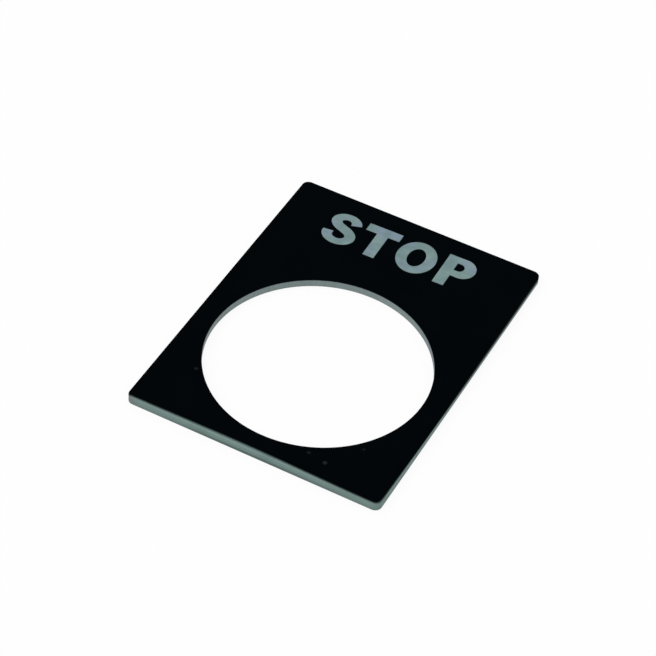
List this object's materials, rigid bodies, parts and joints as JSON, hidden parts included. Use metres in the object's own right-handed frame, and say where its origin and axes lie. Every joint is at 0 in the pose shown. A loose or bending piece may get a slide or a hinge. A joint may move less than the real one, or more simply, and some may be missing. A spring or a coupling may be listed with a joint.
{
  "type": "marking plate",
  "caption": "Thin rectangular marking plate with a large round hole for a push button's collar and a band for the marking.",
  "frame": {"origin": "centre of the hole, on the back face that rests on the panel", "axes": "+Z along the hole's axis, out of the front face; +Y from the hole towards the band that carries the marking; +X to the right as the marking is read"},
  "size_m": [0.03, 0.04, 0.001],
  "materials": {
    "plate": "satin black coat on both faces, bare light grey metal on the cut edges and the marking"
  },
  "bodies": {
    "root": {"plate": "plate"}
  },
  "joints": []
}
